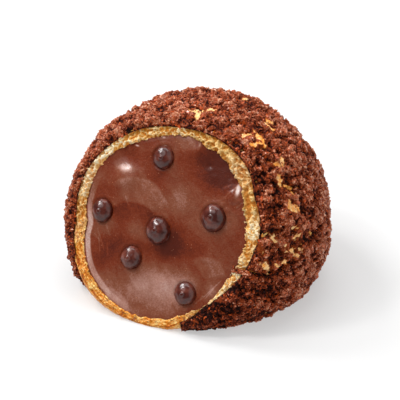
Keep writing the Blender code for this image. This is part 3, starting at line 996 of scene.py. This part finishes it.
cream = settings(
    columns=400, faceRows=100, bodyRows=6, middle=(0.2, -1.8),
    sunk=0.62, crown=0.57, reach=24.0,
    # broad swells and hollows: across, up, spread, rise
    swells=(
        (-15.0, -15.0, 6.5, 0.35), (11.5, 17.5, 4.2, -0.45), (-8.0, 4.0, 6.0, 0.3), (19.0, 8.0, 4.0, 0.25),
        (2.0, -9.0, 5.0, -0.3), (2.4, 18.5, 2.2, 0.35), (9.3, 16.2, 0.45, -0.25),
        (-13.6, 8.8, 2.4, 0.85), (-14.9, 13.6, 2.3, -0.7), (17.4, 10.2, 1.5, 0.5), (18.9, 14.0, 1.6, -0.5),
        (5.1, 19.6, 0.8, 0.3), (5.6, -18.6, 1.4, -0.35),
    ),
    # smears left by the knife, crisp outside and fading inwards, their paleness a painted sheen:
    # across, up, radius, turns from and to, fading length, rise, paleness
    smears=(
        (-9.0, -1.5, 10.7, 20, 135, 7.0, 0.05, 0.3), (-8.5, -7.6, 9.9, 35, 150, 4.5, -0.05, -0.3),
        (-12.3, -29.3, 8.2, 5, 100, 5.0, 0.1, 0.22), (-12.0, 15.0, 17.3, 4, 42, 5.5, 0.08, 0.26),
        (14.5, -10.3, 1.8, -180, 180, 0.8, -0.06, 0.1), (14.3, -12.4, 5.6, 10, 150, 5.0, 0.06, 0.28),
    ),
    # painted light and shade: soft spots, paler for a painted sheen and highlights, less pale for painted
    # shade: across, up, half across, half up, paleness
    patches=(
        (4.5, 8.0, 5.0, 6.5, 0.22), (-7.4, -4.6, 2.6, 2.4, 0.3), (4.5, -6.0, 6.5, 4.0, -0.3),
        (-13.0, 15.0, 7.0, 3.5, -0.12), (-13.5, -12.0, 4.5, 6.0, -0.26), (11.0, 15.8, 6.5, 5.0, -0.55),
        (5.5, -16.3, 7.0, 3.4, 0.55), (-4.0, -20.5, 12.0, 4.4, 0.36), (13.4, -17.5, 1.5, 4.0, -0.3),
        (-14.2, 10.7, 1.9, 0.8, 1.0), (18.4, 11.8, 0.45, 1.3, 1.7), (16.5, -14.8, 1.2, 2.4, 0.25),
        (-20.0, 2.0, 3.0, 5.0, -0.1),
        (14.5, 2.5, 4.0, 5.5, 0.16), (-17.5, -6.0, 2.4, 2.4, 0.2), (-3.5, 12.0, 2.0, 3.0, -0.16),
        (-6.5, -8.5, 1.6, 1.4, -0.3), (2.5, -5.5, 3.0, 2.6, -0.3),
        # painted glints where the cream meets the pastry
        (-12.1, 17.3, 0.45, 0.2, 1.3), (-10.0, 19.1, 0.3, 0.22, 1.1), (-18.5, 14.1, 0.3, 0.4, 0.9),
        (-21.6, 12.4, 0.3, 0.4, 0.7), (-5.2, 20.7, 0.4, 0.2, 1.0), (-4.0, 18.6, 0.35, 0.2, 1.2),
        (5.3, 20.8, 0.35, 1.0, 0.6), (21.6, 6.2, 0.3, 0.5, 1.0),
    ),
    # fine scratches: both ends
    scratches=(
        (-18.6, -6.5, -15.4, -11.7), (-17.9, -8.5, -16.6, -12.4), (-19.2, -8.0, -17.2, -9.6),
        (-14.9, -9.6, -14.2, -12.6), (-16.2, -5.2, -14.6, -7.4), (-12.2, 3.4, -10.9, 1.6),
        (14.2, -18.1, 16.0, -15.6), (15.2, -17.6, 17.0, -14.6), (16.0, -15.6, 18.6, -12.0),
        (13.0, -19.4, 14.6, -17.0),
        (17.0, 11.4, 18.6, 13.6), (16.2, 10.6, 17.9, 12.9), (15.2, 9.2, 16.8, 11.4),
        (-12.6, -23.0, -11.0, -24.2),
        (13.2, 2.4, 14.8, 4.8), (12.4, 1.2, 13.2, 2.2), (19.0, 7.4, 20.8, 9.6), (14.2, 11.6, 16.0, 12.6),
    ),
    scratchWidth=0.16, scratchPale=0.3, scratchDeep=0.05,
    wobble=((3.6, 0.4),), crisp=0.9,
    roll=0.06, rollWidth=1.2, bandPale=0.74, bandAt=0.15, bandWidth=1.5,
    waveHeight=0.13, waveWidth=5.5, rippleHeight=0.05, rippleWidth=1.6,
    wrinkleAt=(18.5, 8.5), wrinkleReach=3.2, wrinkleHeight=0.2, wrinkleWidth=1.1,
    collarRise=0.07, collarWidth=0.4, moatDepth=0.28, moatWidth=0.35,
    tuckedIn=0.9, dipUnderWall=1.2,        # the cream reaches into the pastry wall, so that no gap shows
)
scratchPlaces = byPlace([(*ends, cream.scratchWidth, cream.scratchDeep) for ends in cream.scratches])


def creamLevel(across, up):
    # the broad level of the face, which the drops stand on
    away = (across ** 2 + up ** 2) / cream.reach ** 2
    height = -cream.sunk + cream.crown * max(0.0, 1.0 - away)
    for atAcross, atUp, spread, rise in cream.swells:
        height += rise * exp(-((across - atAcross) ** 2 + (up - atUp) ** 2) / (2.0 * spread ** 2))
    return height


def smearAt(flat, smear):
    # how far inside a smear a place is: 1 just within its crisp edge, fading inwards
    atAcross, atUp, radius, turnFrom, turnTo, fading, rise, paleness = smear
    away = flat - Vector((atAcross, atUp, 0.0))
    inside = radius - away.length
    if inside < -cream.crisp:
        return 0.0
    turn = atan2(away.y, away.x) * 180.0 / pi
    window = 1.0
    if turnTo - turnFrom < 350:
        window = ease((turn - turnFrom) / 18.0) * ease((turnTo - turn) / 18.0)
    return window * ease(inside / cream.crisp + 0.5) * exp(-max(0.0, inside) / fading)


def creamRelief(across, up, fromEdge, turn):
    # height of the cream's face over the slice, and how pale it is painted: a painted sheen and highlights,
    # and painted shade where less pale
    flat = Vector((across, up, 0.0))
    height = creamLevel(across, up)
    bent = pushed(flat, cream.wobble)
    pale = 0.4 + 0.14 * noise.noise(flat / 6.0 + Vector((0.0, 0.0, 4.0)))
    pale += 0.08 * noise.noise(Vector((across + up, (up - across) * 0.35, 2.0)) / 1.3)
    for smear in cream.smears:
        within = smearAt(bent, smear)
        height += smear[6] * within
        pale += smear[7] * within
    for atAcross, atUp, halfAcross, halfUp, paleness in cream.patches:
        away = ((bent.x - atAcross) / halfAcross) ** 2 + ((bent.y - atUp) / halfUp) ** 2
        pale += paleness * exp(-0.7 * away)
    for start, end, half, deep in scratchPlaces.get((int(across // 2.0), int(up // 2.0)), ()):
        line = 1.0 - ease(fromSegment(flat, start, end) / (1.5 * half))
        height -= deep * line
        pale += cream.scratchPale * line
    height += cream.waveHeight * noiseAt(flat, cream.waveWidth)
    height += cream.rippleHeight * noiseAt(flat, cream.rippleWidth)
    wrinkled = exp(-((across - cream.wrinkleAt[0]) ** 2 + (up - cream.wrinkleAt[1]) ** 2)
                   / (2.0 * cream.wrinkleReach ** 2))
    folded = Vector((across * 0.45 + up * 0.3, up - across * 0.8, 0.0))
    height += cream.wrinkleHeight * wrinkled * noiseAt(folded, cream.wrinkleWidth)
    for atAcross, atUp, size in dropPlaces:
        beside = (flat - Vector((atAcross, atUp, 0.0))).length - size / 2.0
        if beside < 3.0:
            height -= cream.moatDepth * (1.0 - ease(beside / cream.moatWidth + 0.4))
            height += cream.collarRise * exp(-((beside - 0.8) / cream.collarWidth) ** 2)
    rolled = 1.0 - ease(fromEdge / cream.rollWidth)
    height -= cream.roll * rolled ** 2
    # painted reflection: a pale band along the cream's low left edge
    lowLeft = aroundBy(turn, ((200, 20, 1.15), (240, 14, 0.35)))
    intoBand = fromEdge - cream.bandAt
    inBand = ease(intoBand / 0.3) * (1.0 - ease((intoBand - cream.bandWidth) / 0.5))
    pale += cream.bandPale * min(1.0, lowLeft) * inBand
    return height, pale


def makeCream(finish):
    columns, faceRows, bodyRows = cream.columns, cream.faceRows, cream.bodyRows

    def creamSkin(azimuth, slope):
        return wallDepth(azimuth, slope) - 0.4

    shape, placed, (pale,) = sphereRows(columns, faceRows + bodyRows, ("pale",))
    middle = onSlice(*cream.middle)
    ends = {}
    for column in range(columns):
        turn = 2.0 * pi * column / columns
        end, edge = innerEnd(turn)
        ends[column] = edge, end, end + (end - middle).normalized() * cream.tuckedIn
    for vert, row, column in placed:
        turn = 2.0 * pi * column / columns
        edge, end, tucked = ends[column]
        if row <= faceRows:
            share = sin(0.5 * pi * (row / faceRows)) ** 0.9
            place = mix(middle, tucked, share)
            flat = place - sliceFoot
            fromEdge = max(0.0, (end - middle).length - (place - middle).length)
            height, paleness = creamRelief(flat.dot(sliceAcross), flat.dot(sliceUp), fromEdge, turn)
            beyond = (place - middle).length - (end - middle).length
            height -= cream.dipUnderWall * ease((beyond - 0.15) / 0.6)
            vert.co = place + sliceOut * height
            vert[pale] = paleness
        else:
            share = (row - faceRows) / bodyRows
            place, outward = layerPoint(mix(edge, pi, share), turn, creamSkin)
            place.z = max(bun.floor - 0.2, place.z)
            below = (place - sliceFoot).dot(sliceOut) + 2.2
            vert.co = place - sliceOut * max(0.0, below)
    bmesh.ops.recalc_face_normals(shape, faces=shape.faces)
    return finishPiece("chocolate_cream_face", shape, finish, ("cream_filling",))


def creamFinish():
    sheet = finishSheet("chocolate cream")
    pale = sheet.painted("pale")
    cloud = sheet.noise(300.0, 3.0, 0.6)
    speckle = sheet.noise(2300.0, 3.0, 0.7)
    tone = pale + (cloud - 0.5) * 0.35 + (speckle - 0.5) * 0.6
    # painted sheen, highlights and shade: the ramp runs from deep brown to near white
    colour = sheet.ramp(tone * 0.6, [(0.0, 80, 24, 6), (0.18, 115, 43, 16),
                                     (0.36, 129, 73, 51), (0.6, 174, 128, 114),
                                     (1.0, 232, 212, 204)])
    dots = sheet.clamped(sheet.cells(900.0), 0.06, 0.13, 0.7, 0.0)
    dots *= sheet.clamped(sheet.noise(330.0), 0.48, 0.6)
    colour = sheet.mixed(dots, colour, fromScreen(200, 132, 98))
    bump = sheet.bump(speckle, 0.00022, 0.9)
    bump = sheet.bump(cloud, 0.0003, 0.35, bump)
    roughness = sheet.clamped(tone, 0.1, 0.9, 0.45, 0.3)
    return sheet.wear(colour=colour, roughness=roughness, normal=bump, subsurface=0.06,
                      subsurfaceScale=0.0015, subsurfaceRadius=(1.0, 0.45, 0.3), specular=0.1,
                      coat=0.35, coatRoughness=0.2)


# the chocolate drops

drop = settings(
    heightShare=0.46, oval=0.94, sunk=0.8, sideShare=0.26,
    sides=60, rows=22, domeTurn=78, nubShare=0.19, nubRise=0.34, nubDip=0.1,
    uneven=0.1, unevenWidth=1.3, lean=0.08,
    # the lip round the base: shares of the radius and of the height
    lip=((0.0, 0.0), (0.9, 0.0), (1.02, 0.05), (1.055, 0.13), (1.035, 0.2), (0.985, 0.24)),
)


def dropOutline(radius):
    # half the outline, from under the base to the tip
    tall = 2.0 * radius * drop.heightShare
    points = [(radius * out, tall * rise) for out, rise in drop.lip]
    for row in range(1, drop.rows + 1):
        turn = radians(drop.domeTurn) * row / drop.rows
        points.append((0.985 * radius * cos(turn), tall * mix(drop.sideShare, 1.0, sin(turn))))
    nub = radius * drop.nubShare
    points += [(nub * 0.9, tall + 0.4 * drop.nubRise), (nub * 0.7, tall + 0.8 * drop.nubRise),
               (nub * 0.42, tall + drop.nubRise), (0.0, tall + drop.nubRise - drop.nubDip)]
    return points


def makeDrop(number, node, place, finish):
    across, up, size = place
    radius = size / 2.0 / drop.oval
    shape = bmesh.new()
    verts = [shape.verts.new((x, 0.0, z)) for x, z in dropOutline(radius)]
    edges = [shape.edges.new(pair) for pair in zip(verts, verts[1:])]
    bmesh.ops.spin(shape, geom=verts + edges, cent=(0, 0, 0), axis=(0, 0, 1), angle=2.0 * pi,
                   steps=drop.sides, use_merge=True)
    bmesh.ops.remove_doubles(shape, verts=shape.verts, dist=1e-4)
    for vert in shape.verts:
        shift = noise.noise_vector(vert.co / drop.unevenWidth + Vector((number * 3.7, 0.0, 0.0)))
        vert.co += shift * drop.uneven
        vert.co.x += vert.co.z * drop.lean * sin(number * 2.1)
        vert.co.y += vert.co.z * drop.lean * cos(number * 1.7)
    turn = Matrix((sliceAcross, sliceUp, sliceOut)).transposed().to_4x4()
    stand = Matrix.Translation(onSlice(across, up, creamLevel(across, up) - drop.sunk)) @ turn
    oval = Matrix.Diagonal((drop.oval, 1.0, 1.0, 1.0))
    bmesh.ops.transform(shape, matrix=stand @ oval, verts=shape.verts)
    bmesh.ops.recalc_face_normals(shape, faces=shape.faces)
    return finishPiece(f"dark_drop_{number}", shape, finish, (node,))


def dropFinish():
    sheet = finishSheet("dark chocolate")
    bloom = sheet.noise(420.0, 3.0, 0.6)
    colour = sheet.ramp(bloom, [(0.3, 54, 10, 3), (0.5, 76, 22, 10),
                                (0.72, 114, 56, 42)])
    bump = sheet.bump(sheet.noise(1500.0, 3.0, 0.6), 0.0001, 0.6)
    roughness = sheet.clamped(bloom, 0.3, 0.7, 0.34, 0.5)
    return sheet.wear(colour=colour, roughness=roughness, normal=bump, specular=0.06,
                      coat=0.95, coatRoughness=0.2)


# studio

studio = settings(
    floorSize=3.0, floorColour=(0.4, 0.4, 0.4), floorGlow=0.42, ambient=0.2,
    lights={                                                  # direction, distance, diameter and power
        "overhead": ((-0.38, -0.44, 0.81), 0.9, 0.65, 1.8),
        "key": ((-0.46, -0.27, 0.845), 0.9, 0.3, 1.8),
        "top": ((-0.10, 0.42, 0.90), 0.9, 0.8, 4.9),
        "side": ((-0.66, 0.14, 0.74), 0.9, 0.3, 4.2),
        "fill": ((0.80, -0.12, 0.59), 1.1, 1.6, 5.3),
        "small": ((-0.534, -0.30, 0.79), 0.9, 0.15, 1.9),
    },
    cameraPlace=(0.1539, -0.3212, 0.2226), cameraTarget=(0.0003, 0.00014, 0.0208), lens=135.0,
)


def makeStudio():
    scene = bpy.context.scene
    scene.view_settings.view_transform = "Standard"
    world = bpy.data.worlds.new("studio")
    scene.world = world
    world.use_nodes = True
    world.node_tree.nodes["Background"].inputs["Color"].default_value = (1.0, 1.0, 1.0, 1.0)
    world.node_tree.nodes["Background"].inputs["Strength"].default_value = studio.ambient

    shape = bmesh.new()
    bmesh.ops.create_grid(shape, x_segments=2, y_segments=2, size=studio.floorSize / 2.0)
    bmesh.ops.translate(shape, verts=shape.verts, vec=(0.0, 0.0, cadLow.z))
    mesh = bpy.data.meshes.new("floor")
    shape.to_mesh(mesh)
    shape.free()
    sheet = finishSheet("pale floor")
    mesh.materials.append(sheet.wear(colour=studio.floorColour, roughness=0.9, specular=0.2,
                                     glow=(1.0, 1.0, 1.0), glowStrength=studio.floorGlow))
    floor = bpy.data.objects.new("floor", mesh)
    scene.collection.objects.link(floor)

    middle = (cadLow + cadHigh) / 2.0
    for name, (towards, distance, size, power) in studio.lights.items():
        direction = Vector(towards).normalized()
        lamp = bpy.data.lights.new(name, "AREA")
        lamp.shape = "DISK"
        lamp.size = size
        lamp.energy = power
        light = bpy.data.objects.new(name, lamp)
        light.location = middle + direction * distance
        light.rotation_euler = direction.to_track_quat("Z", "Y").to_euler()
        scene.collection.objects.link(light)

    view = bpy.data.cameras.new("camera")
    view.lens = studio.lens
    view.sensor_width = 36.0
    view.clip_start = 0.01
    camera = bpy.data.objects.new("camera", view)
    camera.location = studio.cameraPlace
    back = Vector(studio.cameraPlace) - Vector(studio.cameraTarget)
    camera.rotation_euler = back.to_track_quat("Z", "Y").to_euler()
    scene.collection.objects.link(camera)
    scene.camera = camera


makeStudio()
print("studio ready")
crustPiece = makeCrust(cocoaFinish())
ground = crumbGround(crustPiece)
crumbMaterial = crumbFinish()
for name in crumbs:
    scatterCrumbs(name, ground, crumbMaterial)
makePastry(chouxFinish())
makeCream(creamFinish())
darkFinish = dropFinish()
for number, (node, place) in enumerate(zip(dropNodes, dropPlaces), start=1):
    makeDrop(number, node, place, darkFinish)
